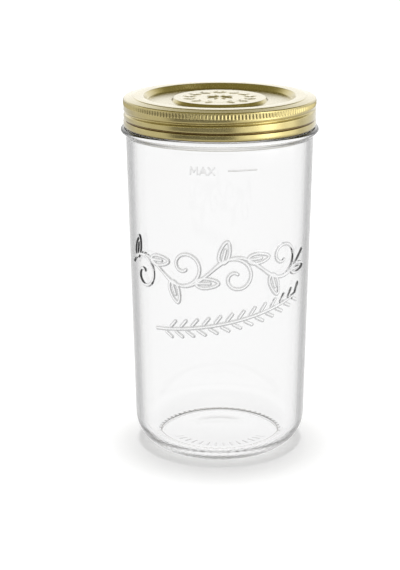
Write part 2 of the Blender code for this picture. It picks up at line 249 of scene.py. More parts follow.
def underside(points, thickness):
    """The other face of a pressed sheet: its outline moved in by the sheet's thickness."""
    lower = []
    for index, point in enumerate(points):
        here = Vector(point)
        before = here - Vector(points[max(index - 1, 0)])
        after = Vector(points[min(index + 1, len(points) - 1)]) - here
        sides = [side.normalized() for side in (before, after) if side.length > 0]
        normals = [Vector((side.y, -side.x)) for side in sides]
        mitre = sum(normals, Vector((0, 0))).normalized()
        lower.append(tuple(here + mitre * (thickness / max(mitre.dot(normals[0]), 0.5))))
    return lower


def turned(profile, columns, closed=False, lining=None):
    """A bmesh of the profile turned once round the axis: a twelfth is spun, copied round and welded.

    The faces of the profile's points from the lining on take the piece's second finish.
    """
    shape = bmesh.new()
    lining_or_no_edge_shade = shape.verts.layers.float.new("lining_or_no_edge_shade")
    verts = [shape.verts.new((x, 0.0, z)) for x, z in profile]
    for vert in verts[lining:] if lining else []:
        vert[lining_or_no_edge_shade] = 1.0
    edges = [shape.edges.new(pair) for pair in zip(verts, verts[1:])]
    if closed:
        edges.append(shape.edges.new((verts[-1], verts[0])))
    bmesh.ops.spin(shape, geom=verts + edges, cent=(0, 0, 0), axis=(0, 0, 1), dvec=(0, 0, 0),
                   angle=2 * math.pi / SECTORS, steps=columns // SECTORS, use_merge=False, use_duplicate=False)
    first = shape.verts[:] + shape.edges[:] + shape.faces[:]
    for sector in range(1, SECTORS):
        copied = bmesh.ops.duplicate(shape, geom=first)["geom"]
        turn = Matrix.Rotation(2 * math.pi * sector / SECTORS, 3, "Z")
        bmesh.ops.rotate(shape, verts=[part for part in copied if isinstance(part, bmesh.types.BMVert)],
                         cent=(0, 0, 0), matrix=turn)
    bmesh.ops.remove_doubles(shape, verts=shape.verts, dist=WELD)
    bmesh.ops.recalc_face_normals(shape, faces=shape.faces)
    for face in shape.faces:
        face.material_index = round(min(vert[lining_or_no_edge_shade] for vert in face.verts))
    return shape


def cut_round(shape, chosen, cuts):
    """Cuts the edges that run round the axis, where they are chosen by radius and height."""
    edges = [edge for edge in shape.edges
             if abs(edge.verts[0].co.z - edge.verts[1].co.z) < WELD
             and abs(edge.verts[0].co.xy.length - edge.verts[1].co.xy.length) < WELD
             and chosen(edge.verts[0].co.xy.length, edge.verts[0].co.z)]
    bmesh.ops.subdivide_edges(shape, edges=edges, cuts=cuts)


def as_object(shape, name, surfaces):
    """Turns a bmesh into a named object with its finishes."""
    mesh = bpy.data.meshes.new(name)
    shape.to_mesh(mesh)
    shape.free()
    for surface in surfaces:
        mesh.materials.append(surface)
    made = bpy.data.objects.new(name, mesh)
    bpy.context.scene.collection.objects.link(made)
    return made


def piece(shape, name, surfaces, body, node):
    """Finishes a bmesh as a named piece that rides on a body and stands for a CAD node."""
    made = as_object(shape, name, surfaces)
    made.data.shade_smooth()
    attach(made, body)
    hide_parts(node)
    return made


def hump(share):
    """A smooth hump: 1 in the middle, 0 at shares of -1 and 1 and beyond."""
    share = np.clip(np.abs(share), 0, 1)
    return np.cos(np.pi * share / 2) ** 2


def move_out(shape, chosen, amount):
    """Moves vertices along their radius. amount(angle, radius, height) works on whole arrays."""
    verts = [vert for vert in shape.verts if chosen(math.hypot(vert.co.x, vert.co.y), vert.co.z)]
    place = np.array([vert.co for vert in verts])
    angle, radius = np.arctan2(place[:, 1], place[:, 0]), np.hypot(place[:, 0], place[:, 1])
    grown = (radius + amount(angle, radius, place[:, 2])) / radius
    for vert, share in zip(verts, grown):
        vert.co.x *= share
        vert.co.y *= share


def thread_height(angle, height, top_z, turns, width):
    """How high a right-handed helical ridge stands at a place, from 0 to 1, with eased ends."""
    start, end = turns
    total = np.zeros_like(angle)
    for lap in range(-1, 3):
        turn = angle / (2 * np.pi) + lap
        ease = hump(1 - np.clip(np.minimum(turn - start, end - turn) / RUNOUT_TURNS, 0, 1))
        ridge = ease * hump((height - (top_z + PITCH * (turn - end))) / (width / 2))
        total = np.maximum(total, ridge)
    return total


# Relief on the glass, drawn in mm on the unrolled wall: across from the front, and up from the table

def stroke_distance(across, up, strokes):
    """Distance from each place to the nearest of the strokes, which are runs of points."""
    nearest = np.full(across.shape, 1e3)
    for stroke in strokes:
        for (x0, y0), (x1, y1) in zip(stroke, stroke[1:]):
            dx, dy = x1 - x0, y1 - y0
            share = ((across - x0) * dx + (up - y0) * dy) / max(dx * dx + dy * dy, 1e-9)
            share = np.clip(share, 0, 1)
            nearest = np.minimum(nearest, np.hypot(across - x0 - share * dx, up - y0 - share * dy))
    return nearest


def leaf(x, y, turn, length, width):
    """A leaf's outline and its midrib, from its stalk at x, y."""
    outline = []
    for step in range(25):
        way = 2 * math.pi * step / 24
        half = width / 2 * math.sin(way) * (0.8 + 0.2 * math.cos(way))
        outline.append((length * (0.5 - 0.5 * math.cos(way)), half))
    rib = [(0, 0), (0.62 * length, 0)]
    c, s = math.cos(math.radians(turn)), math.sin(math.radians(turn))
    return [[(x + a * c - b * s, y + a * s + b * c) for a, b in run] for run in (outline, rib)]


def vine(x):
    """Height of the vine's stem, a long wave that rises to the right."""
    return 120.5 + 0.055 * x + 8.0 * math.sin(2 * math.pi * (x - 9.3) / 60 + math.pi / 2)


def vine_slope(x):
    """The stem's slope, in degrees."""
    return math.degrees(math.atan(vine(x + 0.5) - vine(x - 0.5)))


def tendril(crest, side):
    """A curl that leaves the stem before a crest and winds up on the hollow side of it."""
    middle = Vector((crest, vine(crest) - side * 12.0))
    reach = Vector((crest - 13, vine(crest - 13))) - middle
    start = math.atan2(reach.y, reach.x)
    run = []
    for step in range(49):
        share = step / 48
        radius = reach.length + (2.4 - reach.length) * share ** 0.75
        turn = start - side * share * 2 * math.pi * 1.25
        run.append((middle.x + radius * math.cos(turn), middle.y + radius * math.sin(turn)))
    return [run]


def scrolled_vine():
    """A vine of four curls and eight leaves round the front of the jar."""
    strokes = [[(x, vine(x)) for x in np.linspace(-60, 58, 90)]]
    for crest, side in VINE_CRESTS:
        strokes += tendril(crest, side)
        for shift, spread in ((-8.0, 42), (7.0, 30)):
            x = crest + shift
            strokes += leaf(x, vine(x), vine_slope(x) + side * spread, LEAF_LENGTH, LEAF_WIDTH)
    return strokes


def wheat_height(x):
    """Height of the ear's stalk, which curves up to the right."""
    return 83.5 + 0.13 * (x + 36) + 0.0009 * (x + 36) ** 2


def wheat_ear():
    """A long ear of wheat under the vine, rising to the right: a stalk with slanted grains on both sides."""
    strokes = [[(x, wheat_height(x)) for x in np.linspace(-40, 52, 40)]]
    for x in np.linspace(-31, 50, 13):
        slope = math.degrees(math.atan(wheat_height(x + 0.5) - wheat_height(x - 0.5)))
        for side in (1, -1):
            turn = math.radians(slope + side * GRAIN_SLANT)
            foot = Vector((x + side * 1.6, wheat_height(x) + side * 1.9))
            tip = (foot.x + GRAIN_LENGTH * math.cos(turn), foot.y + GRAIN_LENGTH * math.sin(turn))
            strokes += [[tuple(foot), tip]]
    return strokes


def fill_mark():
    """The plain fill mark: three capitals and a level line."""
    capital_m = [(-16.5, 177.1), (-16.3, 181.1), (-14.5, 178.4), (-12.7, 181.1), (-12.5, 177.1)]
    capital_a = [[(-11.2, 177.1), (-9.3, 181.1), (-7.4, 177.1)], [(-10.5, 178.4), (-8.1, 178.4)]]
    capital_x = [[(-6.3, 177.1), (-2.9, 181.1)], [(-6.3, 181.1), (-2.9, 177.1)]]
    level = [(4.9, 179.4), (21.0, 179.4)]
    return [capital_m] + capital_a + capital_x + [level]


def wall_radius(height):
    """Outside of the tapered wall, or of its straight continuation."""
    share = (height - HEEL_TOP_Z) / (BODY_HEIGHT - HEEL_TOP_Z)
    return WALL_FOOT_RADIUS + (WALL_TOP_RADIUS - WALL_FOOT_RADIUS) * share


def unrolled(places):
    """Places near the wall as their angle from the front, mm across from it, and mm up from the table."""
    angle = np.arctan2(places[:, 0], -places[:, 1])
    return angle, angle * wall_radius(places[:, 2]) / MM, places[:, 2] / MM


def on_wall(place, low, high):
    """Whether a place is on the outside of the wall between two heights."""
    return low < place.z < high and math.hypot(place.x, place.y) > wall_radius(place.z) - 1.5 * MM


def raise_strokes(shape, strokes, low, high, width, flank, height, shade_depth, cuts):
    """Cuts the wall finer along the strokes and raises them, flat on top, paints shade on their flanks and
    keeps the painted grey of the glancing edges off them.
    """
    painted_flank_shade = shape.verts.layers.float["flank"]
    lining_or_no_edge_shade = shape.verts.layers.float["lining_or_no_edge_shade"]
    faces = [face for face in shape.faces if on_wall(face.calc_center_median(), low, high)]
    _, across, up = unrolled(np.array([face.calc_center_median() for face in faces]))
    near = stroke_distance(across, up, strokes)
    edges = {edge for face, gap in zip(faces, near) if gap < width / 2 + 1.2 for edge in face.edges}
    bmesh.ops.subdivide_edges(shape, edges=list(edges), cuts=cuts, use_grid_fill=True)
    verts = [vert for vert in shape.verts if on_wall(vert.co, low, high)]
    places = np.array([vert.co for vert in verts])
    angle, across, up = unrolled(places)
    down = np.clip((stroke_distance(across, up, strokes) - width / 2 + flank) / flank, 0, 1)
    # Painted shade: the flanks that face down and to the right are painted darker, as if the light came from
    # the upper left
    below, above = (stroke_distance(across + step, up - step, strokes) for step in (0.2, -0.2))
    right = below - above
    shade = np.sin(np.pi * down) * (0.8 + 0.35 * right)
    out = wall_radius(places[:, 2]) + height * hump(down)
    # The painted shade goes on the flanks, and the painted grey of the glancing edges comes off them
    for vert, turn, reach, slope in zip(verts, angle, out, shade):
        vert.co.x, vert.co.y = reach * math.sin(turn), -reach * math.cos(turn)
        vert[painted_flank_shade] = shade_depth * slope
        vert[lining_or_no_edge_shade] = min(1.5 * slope, 1.0)


def glass_profile():
    """The outside from under the foot up to the lip, and the inside from the lip down to the floor."""
    inner_foot = WALL_FOOT_RADIUS - WALL_THICKNESS
    inside = [(0, FLOOR_Z), (12 * MM, FLOOR_Z), (25 * MM, FLOOR_Z), (34 * MM, FLOOR_Z)]
    inside += arc(inner_foot - FLOOR_FILLET, FLOOR_Z + FLOOR_FILLET, FLOOR_FILLET, -90, 0, 16)
    inside += rows(inside[-1], (MOUTH_RADIUS, BODY_HEIGHT), 16)
    inside += [(MOUTH_RADIUS, BODY_HEIGHT), (MOUTH_RADIUS, BODY_HEIGHT + 3 * MM)]
    inside += [(MOUTH_RADIUS, 200 * MM), (MOUTH_RADIUS, 207.4 * MM)]
    lip = arc(MOUTH_RADIUS + LIP_ROUND, RIM_Z - LIP_ROUND, LIP_ROUND, 180, 90, 5)
    lip += arc(NECK_RADIUS - LIP_ROUND, RIM_Z - LIP_ROUND, LIP_ROUND, 90, 0, 5)
    root = arc(NECK_RADIUS + NECK_ROOT, COLLAR_TOP_Z + NECK_ROOT, NECK_ROOT, 180, 270, 4)
    neck = rows(lip[-1], root[0], 26)
    collar = arc(COLLAR_RADIUS - COLLAR_ROUND, COLLAR_WIDEST_Z, COLLAR_ROUND, 90, 0, 8)
    flare = []
    for step in range(1, 13):
        swell = math.cos(math.pi * step / 24) ** FLARE_POWER
        reach = WALL_TOP_RADIUS + (COLLAR_RADIUS - WALL_TOP_RADIUS) * swell
        flare.append((reach, COLLAR_WIDEST_Z - COLLAR_FLARE * step / 12))
    # The wall's rows lie closer together where the fill mark and the relief are cut into it
    levels = [188, 183, 182, 181, 180, 179, 178, 177, 176, 175, 170, 160, 150]
    levels += [*range(146, 72, -2), 65, 50, 35, 25, 20]
    wall = [(wall_radius(z * MM), z * MM) for z in levels]
    heel = arc(WALL_FOOT_RADIUS - HEEL_RADIUS, HEEL_TOP_Z, HEEL_RADIUS, 0, -STIPPLE_START, 5)[:-1]
    heel += arc(WALL_FOOT_RADIUS - HEEL_RADIUS, HEEL_TOP_Z, HEEL_RADIUS, -STIPPLE_START, -HEEL_SWEEP, 26)
    foot = rounded([(*heel[-2], 0, 0), (BEARING_RADIUS, 0.0, BEARING_ROUND, 4), (BEARING_INSIDE, 0.0, 0, 0)])
    rise = [(BEARING_INSIDE - PUSH_UP_RUN * step / 12, PUSH_UP_HEIGHT * math.sin(math.pi * step / 24) ** 2)
            for step in range(1, 13)]
    bars = [(radius * MM, PUSH_UP_HEIGHT + 0.1 * MM) for radius in np.linspace(31.8, 24.2, 20)]
    push_up = [(20 * MM, PUSH_UP_HEIGHT + 0.3 * MM), (10 * MM, PUSH_UP_HEIGHT + 0.5 * MM),
               (0.0, PUSH_UP_HEIGHT + PUSH_UP_DOME)]
    outside = lip + neck + root + collar + flare + wall + heel[:-2] + foot + rise + bars + push_up
    return outside[::-1], inside[::-1]


def bearing_nibs(shape):
    """The ring that the jar stands on, a crown of small nibs, and the stippled heel about it, where the painted
    grey of the edges thins out.
    """
    lining_or_no_edge_shade = shape.verts.layers.float["lining_or_no_edge_shade"]
    cut_round(shape, lambda radius, z: z < NIB_TOP_Z and radius > BEARING_INSIDE - WELD, 2)
    for vert in shape.verts:
        radius, z = vert.co.xy.length, vert.co.z
        if vert[lining_or_no_edge_shade] > 0.5:
            continue
        # The painted grey of the glancing edges is left off the underside and thinned out towards the table
        low, lowest = 1 - min(z / HEEL_FADE_Z, 1.0), 1 - min(z / FOOT_FADE_Z, 1.0)
        under = radius < BEARING_RADIUS - 0.4 * BEARING_WIDTH
        vert[lining_or_no_edge_shade] = 1.0 if under else 0.35 * low + 0.4 * lowest
        turn = NIB_COUNT * math.atan2(vert.co.y, vert.co.x)
        if z < NIB_TOP_Z and BEARING_INSIDE < radius < BEARING_RADIUS:
            ease = min((radius - BEARING_INSIDE) / (0.5 * BEARING_WIDTH), 1.0)
            vert.co.z += NIB_HEIGHT * (0.5 - 0.5 * math.cos(turn)) * ease
        sweep = math.atan2(HEEL_TOP_Z - z, radius - WALL_FOOT_RADIUS + HEEL_RADIUS)
        if radius > BEARING_RADIUS and sweep > math.radians(STIPPLE_START):
            row = math.cos(2 * math.pi * HEEL_RADIUS * sweep / STIPPLE_PITCH)
            fade = min((math.degrees(sweep) - STIPPLE_START) / STIPPLE_FADE, 1.0)
            depth = STIPPLE_DEPTH * (fade * (0.5 - 0.5 * math.cos(turn) * row))
            vert.co.xy *= 1 - depth * math.cos(sweep) / radius
            vert.co.z += depth * math.sin(sweep)


def base_bars(shape):
    """A row of short raised bars in an arc under the base, as a mould's plain index marks, with painted shade
    on their flanks.
    """
    painted_flank_shade = shape.verts.layers.float["flank"]
    half = math.radians(BAR_SPREAD)
    step = half * 2 / BASE_BARS
    for vert in shape.verts:
        turn = math.atan2(vert.co.x, -vert.co.y)
        along = abs(vert.co.xy.length - BAR_CIRCLE) - BAR_LENGTH / 2 + BAR_WIDTH / 2
        if vert.co.z > UNDERSIDE_TOP_Z or abs(turn) > half or along > BAR_WIDTH / 2:
            continue
        across = (turn - (math.floor(turn / step) + 0.5) * step) * BAR_CIRCLE
        off = min(math.hypot(across, max(along, 0.0)) / (BAR_WIDTH / 2), 1.0)
        vert.co.z -= BAR_HEIGHT * float(hump(off))
        # Painted shade on the bar's flanks
        vert[painted_flank_shade] = BAR_SHADE * math.sin(math.pi * off)


def glass_jar(surface):
    """The jar, pressed in one piece: its relief, thread, nibs and bars are shaped on one turned wall."""
    outside, inside = glass_profile()
    shape = turned(outside + inside, GLASS_COLUMNS, lining=len(outside))
    shape.verts.layers.float.new("flank")
    for face in shape.faces:
        face.material_index = 0
    cut_round(shape, lambda radius, z: (
        z < UNDERSIDE_TOP_Z and abs(radius - BAR_CIRCLE) < BAR_LENGTH / 2 + MM), 2)
    raise_strokes(shape, scrolled_vine() + wheat_ear(), 74 * MM, 147 * MM, RELIEF_WIDTH, RELIEF_FLANK,
                  RELIEF_HEIGHT, RELIEF_SHADE, 3)
    raise_strokes(shape, fill_mark(), 175.5 * MM, 182.5 * MM, MARK_WIDTH, MARK_FLANK,
                  MARK_HEIGHT, MARK_SHADE, 5)
    turns = (GLASS_THREAD_END - GLASS_THREAD_TURNS, GLASS_THREAD_END)
    move_out(shape, lambda radius, z: (
        COLLAR_TOP_Z + NECK_ROOT < z < RIM_Z - LIP_ROUND and radius > NECK_RADIUS - TOUCH),
        lambda angle, radius, z: GLASS_THREAD_HEIGHT * thread_height(
            angle, z, GLASS_THREAD_TOP_Z, turns, GLASS_THREAD_WIDTH))
    bearing_nibs(shape)
    base_bars(shape)
    return piece(shape, "pressed_glass_jar", [surface], "jar", "glass_jar")


# The closure

def lid_top_corners():
    """The lid's top from its middle out: disc, sunken panel, crown, ledge, and the turn into the skirt."""
    return [
        (0.0, DISC_Z, 0, 0), (DISC_RADIUS, DISC_Z, 0.6 * MM, 5), (PANEL_INSIDE, PANEL_Z, 0.6 * MM, 5),
        (PANEL_OUTSIDE, PANEL_Z, 0.8 * MM, 6), (CROWN_INSIDE, CROWN_Z, 0.6 * MM, 5),
        (CROWN_OUTSIDE, CROWN_Z, 0.35 * MM, 3), (LEDGE_INSIDE, LEDGE_Z + 0.3 * MM, 0.3 * MM, 3),
        (SKIRT_RADIUS, LEDGE_Z - 0.4 * MM, 0.9 * MM, 8), (SKIRT_RADIUS, KNURL_TOP_Z - 0.2 * MM, 0, 0),
    ]


def lid_profile():
    """Top from the middle out, down the skirt, round the curled hem, and back up the inside."""
    top = rounded(lid_top_corners())
    disc = [(x * MM, DISC_Z) for x in np.linspace(3, 25.5, 40)]
    top = top[:1] + disc + top[1:]
    outer = [(SKIRT_RADIUS, KNURL_TOP_Z - z * MM) for z in (0.5, 0.9, 1.4, 2.0, 2.5, 2.9, 3.2)]
    outer += [(SKIRT_RADIUS, KNURL_BOTTOM_Z - z * MM) for z in np.linspace(0.0, 6.4, 23)]
    # The groove's outline, as shares of half its width and of its depth
    groove = [(1.0, 0.0), (0.86, 0.03), (0.74, 0.16), (0.55, 0.5), (0.36, 0.86), (0.2, 0.98), (0.0, 1.0)]
    groove += [(-share, depth) for share, depth in groove[-2::-1]]
    outer += [(SKIRT_RADIUS - GROOVE_DEPTH * depth, GROOVE_Z + GROOVE_WIDTH / 2 * share)
              for share, depth in groove]
    outer += [(SKIRT_RADIUS + 0.04 * MM, 198.3 * MM), (SKIRT_RADIUS + 0.12 * MM, 197.5 * MM),
              (SKIRT_RADIUS + 0.12 * MM, 196.7 * MM)]
    hem = arc(SKIRT_RADIUS - HEM_ROUND, LID_BOTTOM_Z + HEM_ROUND, HEM_ROUND, 0, -180, 8)
    hem += [(SKIRT_RADIUS - 2 * HEM_ROUND, LID_BOTTOM_Z + 1.2 * MM),
            (SKIRT_RADIUS - LID_SHEET, LID_BOTTOM_Z + 1.6 * MM)]
    inner = [(SKIRT_RADIUS - LID_SHEET - GROOVE_INSIDE * depth, GROOVE_Z + GROOVE_WIDTH / 2 * share)
             for share, depth in groove[::-1]]
    inner += [(SKIRT_RADIUS - LID_SHEET, KNURL_BOTTOM_Z - z * MM) for z in np.linspace(6.0, 0.0, 16)]
    inner += [(SKIRT_RADIUS - LID_SHEET, KNURL_TOP_Z - 2 * MM)]
    below = underside(rounded(lid_top_corners()), LID_SHEET)[::-1]
    return top + outer + hem, inner + below


def blade(x, y, foot, turn, length, width):
    """Height of one pressed leaf, from 0 to 1, with a sunken midrib."""
    c, s = math.cos(turn), math.sin(turn)
    along = ((x - foot[0]) * c + (y - foot[1]) * s) / length
    side = (y - foot[1]) * c - (x - foot[0]) * s
    half = width / 2 * np.sqrt(np.clip(np.sin(np.pi * np.clip(along, 0, 1)), 1e-6, 1))
    return hump(side / half) * (along > 0) * (along < 1) * (1 - 0.45 * hump(side / 0.35))


def lid_ornament(x, y):
    """Height of the plain ornament pressed into the lid's disc: a wreath of leaves about a rosette."""
    x, y = x / MM, y / MM
    height = 0.35 * hump((np.hypot(x, y) - WREATH_RADIUS) / 0.7)
    for index in range(WREATH_LEAVES):
        for branch in (1, -1):
            turn = -math.pi / 2 + branch * math.pi * (index + 0.5) / WREATH_LEAVES
            foot = (WREATH_RADIUS * math.cos(turn), WREATH_RADIUS * math.sin(turn))
            for side in (1, -1):
                heading = turn + branch * (math.pi / 2 - side * 0.75)
                height = np.maximum(height, blade(x, y, foot, heading, BLADE_LENGTH, BLADE_WIDTH))
    for petal in range(PETALS):
        turn = math.pi * (petal + 0.5) / (PETALS / 2)
        foot = (ROSETTE_RADIUS * math.cos(turn), ROSETTE_RADIUS * math.sin(turn))
        height = np.maximum(height, blade(x, y, foot, turn, BLADE_LENGTH, PETAL_WIDTH))
    return np.maximum(height, hump(np.hypot(x, y) / ROSETTE_RADIUS))


def screw_lid(surface, lining):
    """The lid, with its thread rolled into the skirt, its knurl, and the ornament on its disc."""
    outside, inside = lid_profile()
    shape = turned(outside + inside, 2 * KNURL_COUNT, lining=len(outside))
    cut_round(shape, lambda radius, z: (
        KNURL_BOTTOM_Z + 0.1 * MM < z < KNURL_TOP_Z - 0.3 * MM and radius > SKIRT_RADIUS - 0.1 * MM), 2)
    move_out(shape, lambda radius, z: (
        radius > CAPSULE_RADIUS and GROOVE_Z + 1.0 * MM < z < KNURL_BOTTOM_Z + 0.2 * MM),
        lambda angle, radius, z: -LID_THREAD_DEPTH * thread_height(
            angle, z, LID_THREAD_TOP_Z, LID_THREAD_TURNS, LID_THREAD_WIDTH))
    middle, reach = (KNURL_TOP_Z + KNURL_BOTTOM_Z) / 2, (KNURL_TOP_Z - KNURL_BOTTOM_Z) / 2
    move_out(shape, lambda radius, z: radius > SKIRT_RADIUS - 0.1 * MM and KNURL_BOTTOM_Z < z < KNURL_TOP_Z,
             lambda angle, radius, z: SKIRT_RADIUS - radius + (
                 KNURL_HEIGHT - KNURL_DEPTH * (0.5 - 0.5 * np.cos(KNURL_COUNT * angle))) * np.clip(
                 KNURL_FADE * (1 - np.abs(z - middle) / reach), 0, 1))
    raised = [vert for vert in shape.verts
              if vert.co.z > DISC_Z - TOUCH and vert.co.xy.length < ORNAMENT_REACH]
    place = np.array([vert.co for vert in raised])
    for vert, height in zip(raised, lid_ornament(place[:, 0], place[:, 1])):
        vert.co.z += WREATH_HEIGHT * height
    return piece(shape, "gold_screw_lid", [surface, lining], "lid", "screw_lid")


def capsule(surface, lining):
    """The dished tinplate capsule, with its stepped button and turned-down edge."""
    dish_z = CAPSULE_TOP_Z - DISH_DEPTH
    button_z = dish_z + BUTTON_RISE
    upper = rounded([
        (0.0, button_z, 0, 0), (21.5 * MM, button_z, 0.8 * MM, 5), (22.7 * MM, dish_z, 0.8 * MM, 5),
        (47.0 * MM, dish_z, 0.5 * MM, 4), (DISH_RADIUS, CAPSULE_TOP_Z, 0.4 * MM, 4),
        (CAPSULE_RADIUS, CAPSULE_TOP_Z, 0.6 * MM, 5), (CAPSULE_RADIUS, CAPSULE_TOP_Z - 1.7 * MM, 0, 0),
    ])
    lower = underside(upper, CAPSULE_SHEET)[::-1]
    shape = turned(upper + lower, CAPSULE_COLUMNS, lining=len(upper))
    return piece(shape, "sealing_capsule_plate", [surface, lining], "capsule", "sealing_capsule")


def compound_ring(surface):
    """The moulded ring under the capsule's rim, with a rounded sealing bead."""
    inner, outer = DISH_RADIUS + 0.6 * MM, CAPSULE_RADIUS - 0.6 * MM
    profile = rounded([
        (inner + MM, RING_TOP_Z, 0, 0), (outer, RING_TOP_Z, 0.2 * MM, 2),
        (outer, RING_BOTTOM_Z, 0.5 * MM, 5), (inner, RING_BOTTOM_Z, 0.5 * MM, 5),
        (inner, RING_TOP_Z, 0.2 * MM, 2), (inner + 0.8 * MM, RING_TOP_Z, 0, 0),
    ])
    shape = turned(profile, CAPSULE_COLUMNS, closed=True)
    return piece(shape, "sealing_compound_ring", [surface], "capsule", "sealing_ring")


# Finishes

def two_tone(ramp, low, high):
    """Gives a ramp its two colours."""
    ramp.color_ramp.elements[0].color, ramp.color_ramp.elements[1].color = linear(low), linear(high)


def pressed_soda_lime_glass():
    """Soda-lime glass pressed in a mould and fire polished: clear and faintly wavy, with painted grey at its
    glancing edges and on the relief's flanks.
    """
    surface, tree, shader = new_material("pressed_soda_lime_glass")
    for name, value in {"Roughness": 0.0, "IOR": 1.52, "Transmission Weight": 1.0}.items():
        shader.inputs[name].default_value = value
    place = add_node(tree, "ShaderNodeTexCoord").outputs["Object"]
    # Waves some 25 mm long, left where the hot glass chilled on the mould
    waves = add_node(tree, "ShaderNodeTexNoise", inputs={"Scale": 40.0, "Detail": 1.0, "Roughness": 0.4},
                     links={"Vector": place})
    bump = add_node(tree, "ShaderNodeBump", inputs={"Strength": 0.25, "Distance": 0.0004},
                    links={"Height": waves.outputs["Fac"]})
    tree.links.new(bump.outputs["Normal"], shader.inputs["Normal"])
    # Painted shade: the outside of the wall is painted grey where it is seen at a glancing angle, so the edges
    # read grey.
    # The inside, the underside and the flanks of the relief are left out of it
    glance = add_node(tree, "ShaderNodeLayerWeight", inputs={"Blend": 0.5})
    inside = add_node(tree, "ShaderNodeAttribute", {"attribute_name": "lining_or_no_edge_shade"})
    outer = add_node(tree, "ShaderNodeMath", {"operation": "SUBTRACT"}, {0: 1.0}, {1: inside.outputs["Fac"]})
    slant = add_node(tree, "ShaderNodeMath", {"operation": "MULTIPLY"},
                     links={0: glance.outputs["Facing"], 1: outer.outputs[0]})
    edge = add_node(tree, "ShaderNodeValToRGB", links={"Fac": slant.outputs[0]})
    stops = edge.color_ramp.elements
    stops[0].position, stops[0].color = 0.0, linear("#FDFDFD")
    stops[1].position, stops[1].color = 1.0, linear("#707070")
    for position, code in ((0.40, "#FAFAFA"), (0.48, "#F1F1F1"), (0.52, "#ECECEC"), (0.564, "#DBDBDB"),
                           (0.607, "#C0C0C0"), (0.65, "#959595"), (0.72, "#787878")):
        stops.new(position).color = linear(code)
    # Painted shade: the flanks of the relief and of the bars under the base are painted as grey lines, about 1
    # mm wide, where they bend the light away
    painted_flank_shade = add_node(tree, "ShaderNodeAttribute", {"attribute_name": "flank"})
    line = add_node(tree, "ShaderNodeValToRGB", links={"Fac": painted_flank_shade.outputs["Fac"]})
    two_tone(line, "#FFFFFF", "#3C3C3C")
    tint = add_node(tree, "ShaderNodeMix", {"data_type": "RGBA", "blend_type": "DARKEN"}, {0: 1.0},
                    {6: edge.outputs["Color"], 7: line.outputs["Color"]})
    tree.links.new(tint.outputs[2], shader.inputs["Base Color"])
    return surface


def gold_lacquered_tinplate():
    """Tinplate rolled, lacquered gold and pressed: satin under a clear gloss, with painted shade, darker and
    browner, in the groove and at the curled edge.
    """
    surface, tree, shader = new_material("gold_lacquered_tinplate")
    for name, value in {"Metallic": 1.0, "Coat Weight": 0.7, "Coat Roughness": 0.2}.items():
        shader.inputs[name].default_value = value
    place = add_node(tree, "ShaderNodeTexCoord").outputs["Object"]
    # Clouds some 11 mm across, where the lacquer is a little thicker
    cloud = add_node(tree, "ShaderNodeTexNoise", inputs={"Scale": 90.0, "Detail": 3.0}, links={"Vector": place})
    tint = add_node(tree, "ShaderNodeValToRGB", links={"Fac": cloud.outputs["Fac"]})
    tint.color_ramp.elements[0].position, tint.color_ramp.elements[1].position = 0.35, 0.65
    two_tone(tint, "#AA9C65", "#B1A46D")
    # Painted shade: the gold is darker and browner over 0.8 mm of the annular groove and 0.35 mm of the curled
    # edge, and fades out beside them
    height = add_node(tree, "ShaderNodeSeparateXYZ", links={"Vector": place})
    level = add_node(tree, "ShaderNodeMapRange",
                     inputs={"From Min": LID_BOTTOM_Z, "From Max": GROOVE_Z + 2 * MM},
                     links={"Value": height.outputs["Z"]})
    painted_groove_shade = add_node(tree, "ShaderNodeValToRGB", links={"Fac": level.outputs["Result"]})
    stops, span = painted_groove_shade.color_ramp.elements, GROOVE_Z + 2 * MM - LID_BOTTOM_Z
    stops[0].position, stops[0].color = 0.0, linear("#7B6C48")
    stops[1].position, stops[1].color = 1.0, linear("#FFFFFF")
    for off, code in ((LID_BOTTOM_Z + 0.35 * MM, "#8C7E58"), (LID_BOTTOM_Z + 0.9 * MM, "#FFFFFF"),
                      (GROOVE_Z - 0.75 * MM, "#FFFFFF"), (GROOVE_Z - 0.4 * MM, "#A8935A"),
                      (GROOVE_Z + 0.4 * MM, "#A8935A"), (GROOVE_Z + 0.75 * MM, "#FFFFFF")):
        stops.new((off - LID_BOTTOM_Z) / span).color = linear(code)
    gold = add_node(tree, "ShaderNodeMix", {"data_type": "RGBA", "blend_type": "MULTIPLY"}, {0: 1.0},
                    {6: tint.outputs["Color"], 7: painted_groove_shade.outputs["Color"]})
    tree.links.new(gold.outputs[2], shader.inputs["Base Color"])
    # Orange peel of the stoved lacquer, 0.5 mm across
    peel = add_node(tree, "ShaderNodeTexNoise", inputs={"Scale": 1900.0, "Detail": 2.0},
                    links={"Vector": place})
    gloss = add_node(tree, "ShaderNodeMapRange",
                     inputs={"From Min": 0.3, "From Max": 0.7, "To Min": 0.21, "To Max": 0.28},
                     links={"Value": peel.outputs["Fac"]})
    tree.links.new(gloss.outputs["Result"], shader.inputs["Roughness"])
    bump = add_node(tree, "ShaderNodeBump", inputs={"Strength": 0.12, "Distance": 0.00004},
                    links={"Height": peel.outputs["Fac"]})
    tree.links.new(bump.outputs["Normal"], shader.inputs["Normal"])
    return surface


def lacquered_capsule():
    """The capsule's tinplate under a clear food lacquer: paler and smoother than the lid."""
    surface, tree, shader = new_material("food_lacquered_tinplate")
    shader.inputs["Metallic"].default_value = 1.0
    place = add_node(tree, "ShaderNodeTexCoord").outputs["Object"]
    # Clouds some 17 mm across in the lacquer's colour and gloss
    cloud = add_node(tree, "ShaderNodeTexNoise", inputs={"Scale": 60.0, "Detail": 3.0}, links={"Vector": place})
    tint = add_node(tree, "ShaderNodeValToRGB", links={"Fac": cloud.outputs["Fac"]})
    two_tone(tint, "#D6C792", "#E0D3A6")
    tree.links.new(tint.outputs["Color"], shader.inputs["Base Color"])
    gloss = add_node(tree, "ShaderNodeMapRange", inputs={"To Min": 0.22, "To Max": 0.34},
                     links={"Value": cloud.outputs["Fac"]})
    tree.links.new(gloss.outputs["Result"], shader.inputs["Roughness"])
    return surface


